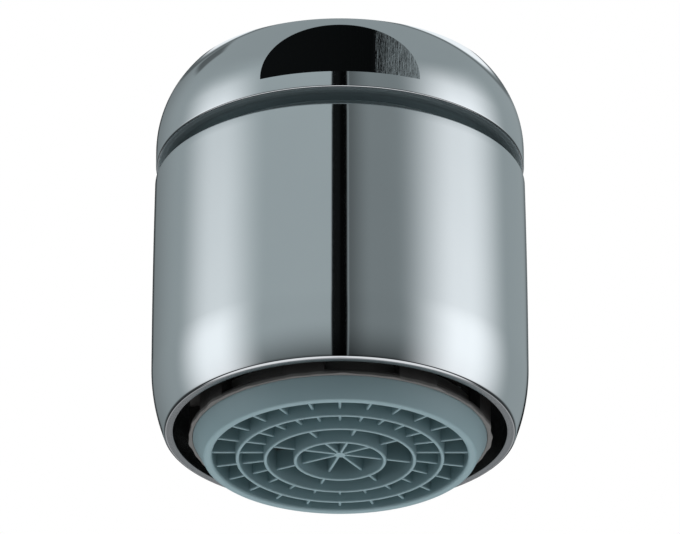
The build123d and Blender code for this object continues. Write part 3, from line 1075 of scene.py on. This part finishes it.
def darkenPanels(tree, panel, azimuth, elevation):
    # the slot in front with its thin bright line, and the shades at the back
    s = studio
    slotLow, slotHigh = s["slot"]
    blur, line, shade = s["slotBlur"], s["slotLine"], s["shade"]
    left = smooth(tree, azimuth, slotLow - blur, slotLow + blur)
    right = smooth(tree, azimuth, slotHigh + blur, slotHigh - blur)
    inside = times(tree, times(tree, left, right), smooth(tree, elevation, *s["slotTop"]))
    panel = blend(tree, times(tree, inside, s["slotDepth"]), panel, 0.0)
    fromLine = away(tree, azimuth, line["azimuth"])
    panel = add(tree, panel, smooth(tree, fromLine, line["width"], 0.0, 0.0, line["bright"]))
    shaded = times(
        tree,
        smooth(tree, away(tree, azimuth, shade["azimuth"]),
               shade["width"], shade["width"] * shade["core"]),
        smooth(tree, away(tree, elevation, shade["elevation"]),
               shade["height"], shade["height"] * shade["core"]),
    )
    panel = blend(tree, times(tree, shaded, shade["amount"]), panel, 0.0)
    for side in s["sideShades"]:
        across = smooth(tree, azimuth, *side["azimuths"])
        rise = smooth(tree, elevation, *side["elevations"], 0.0, side["amount"])
        panel = blend(tree, times(tree, across, rise), panel, 0.0)
    return panel


def softBoxes(tree, azimuth, elevation):
    total = 0.0
    for box in studio["boxes"]:
        fromBox = away(tree, azimuth, box["azimuth"])
        glow = smooth(tree, fromBox, box["outer"], box["inner"], 0.0, box["bright"])
        glow = times(tree, glow, smooth(tree, elevation, *box["fade"]))
        glow = times(tree, glow, smooth(tree, elevation, *studio["boxFoot"]))
        total = add(tree, glow, total)
    return total


def backdropReach(tree, azimuth, elevation):
    # distance from the middle of the backdrop, 1 at its rim
    back = studio["backdrop"]
    behind = calc(tree, "SUBTRACT", 180.0, calc(tree, "ABSOLUTE", azimuth))
    turn = smooth(tree, azimuth, *studio["seam"], back["turn"], -back["turn"])
    behind = add(tree, behind, turn)
    across = calc(tree, "POWER", calc(tree, "DIVIDE", behind, back["width"]), 2.0)
    fromMiddle = away(tree, elevation, back["elevation"])
    rise = calc(tree, "POWER", calc(tree, "DIVIDE", fromMiddle, back["height"]), 2.0)
    return calc(tree, "SQRT", add(tree, across, rise))


def buildWorld():
    s = studio
    back = s["backdrop"]
    world = bpy.data.worlds.new("studio")
    bpy.context.scene.world = world
    world.use_nodes = True
    tree = world.node_tree
    tree.nodes.clear()
    direction = split(tree, tree.nodes.new("ShaderNodeTexCoord").outputs["Generated"])
    forward = times(tree, direction["Y"], -1.0)
    azimuth = calc(tree, "DEGREES", calc(tree, "ARCTAN2", direction["X"], forward))
    elevation = calc(tree, "DEGREES", calc(tree, "ARCSINE", direction["Z"]))
    panel = wallPanels(tree, azimuth, elevation)
    panel = darkenPanels(tree, panel, azimuth, elevation)
    lights = softBoxes(tree, azimuth, elevation)
    reach = backdropReach(tree, azimuth, elevation)
    lights = add(tree, lights, smooth(tree, reach, *back["edge"], 0.0, back["bright"]))
    fromBorder = away(tree, reach, back["borderMiddle"])
    border = smooth(tree, fromBorder, *back["borderWidth"], 0.0, back["border"])
    panel = blend(tree, border, panel, 0.0)
    # pale ground, darker and higher behind the object
    atBack = smooth(tree, calc(tree, "ABSOLUTE", azimuth), *s["backAzimuths"])
    ground = blend(tree, atBack, s["groundFront"], s["groundBack"])
    belowFront = smooth(tree, elevation, *s["groundStart"])
    belowBack = smooth(tree, elevation, *s["groundStartBack"])
    below = blend(tree, atBack, belowFront, belowBack)
    panel = times(tree, panel, calc(tree, "SUBTRACT", 1.0, below))
    lights = blend(tree, below, lights, ground)

    total = tree.nodes.new("ShaderNodeVectorMath")
    total.operation = "ADD"
    tree.links.new(tinted(tree, panel, s["panelTint"]), total.inputs[0])
    tree.links.new(tinted(tree, lights, s["boxTint"]), total.inputs[1])
    seen = tree.nodes.new("ShaderNodeBackground")
    tree.links.new(total.outputs["Vector"], seen.inputs["Color"])
    white = tree.nodes.new("ShaderNodeBackground")
    white.inputs["Color"].default_value = (1, 1, 1, 1)
    path = tree.nodes.new("ShaderNodeLightPath")
    choose = tree.nodes.new("ShaderNodeMixShader")
    tree.links.new(path.outputs["Is Camera Ray"], choose.inputs["Fac"])
    tree.links.new(seen.outputs["Background"], choose.inputs[1])
    tree.links.new(white.outputs["Background"], choose.inputs[2])
    output = tree.nodes.new("ShaderNodeOutputWorld")
    tree.links.new(choose.outputs["Shader"], output.inputs["Surface"])


floor = {"depth": 0.95, "size": 6.0, "colour": (0.86, 0.87, 0.88), "roughness": 0.9}


def buildFloor():
    # out of reflections and bounces, which the studio's own ground gives
    half, level = floor["size"] / 2, -floor["depth"]
    mesh = bpy.data.meshes.new("floor")
    signs = ((-1, -1), (1, -1), (1, 1), (-1, 1))
    corners = [(x * half, y * half, level) for x, y in signs]
    mesh.from_pydata(corners, [], [(0, 1, 2, 3)])
    piece = addObject("floor", mesh)
    material, tree, shader = startMaterial("paleFloor")
    shader.inputs["Base Color"].default_value = (*floor["colour"], 1)
    shader.inputs["Roughness"].default_value = floor["roughness"]
    setMaterials(piece, material)
    piece.visible_glossy = False
    piece.visible_diffuse = False


fill = {
    "place": (0.0, 0.28, -0.45),
    "aim": (0, 0, -0.02),
    "size": (0.5, 0.3),
    "power": 0.65,
    "colour": (0.95, 1.0, 1.0),
}


def buildFill():
    # soft light into the grille, from below and behind
    data = bpy.data.lights.new("fillBelow", "AREA")
    data.shape = "RECTANGLE"
    data.size, data.size_y = fill["size"]
    data.energy = fill["power"]
    data.color = fill["colour"]
    light = addObject("fillBelow", data)
    light.location = fill["place"]
    along = Vector(fill["aim"]) - Vector(fill["place"])
    light.rotation_euler = along.to_track_quat("-Z", "Y").to_euler()
    light.visible_glossy = False
    light.visible_camera = False


view = {
    "distance": 695.1,
    "elevation": -25.95,
    "aimBelow": 14.45,
    "lens": 504.0,
    "sensor": 36.0,
    "clip": (0.01, 20.0),
}


def buildCamera():
    v = view
    data = bpy.data.cameras.new("camera")
    data.lens = v["lens"]
    data.sensor_width = v["sensor"]
    data.clip_start, data.clip_end = v["clip"]
    camera = addObject("camera", data)
    aim = Vector((0, 0, -v["aimBelow"] * mm))
    tilt = math.radians(v["elevation"])
    camera.location = aim + Vector((0, -math.cos(tilt), math.sin(tilt))) * v["distance"] * mm
    camera.rotation_euler = (aim - camera.location).to_track_quat("-Z", "Y").to_euler()
    bpy.context.scene.camera = camera


buildWorld()
buildFloor()
buildFill()
buildCamera()
bpy.context.scene.view_settings.view_transform = "Standard"
print("studio ready")
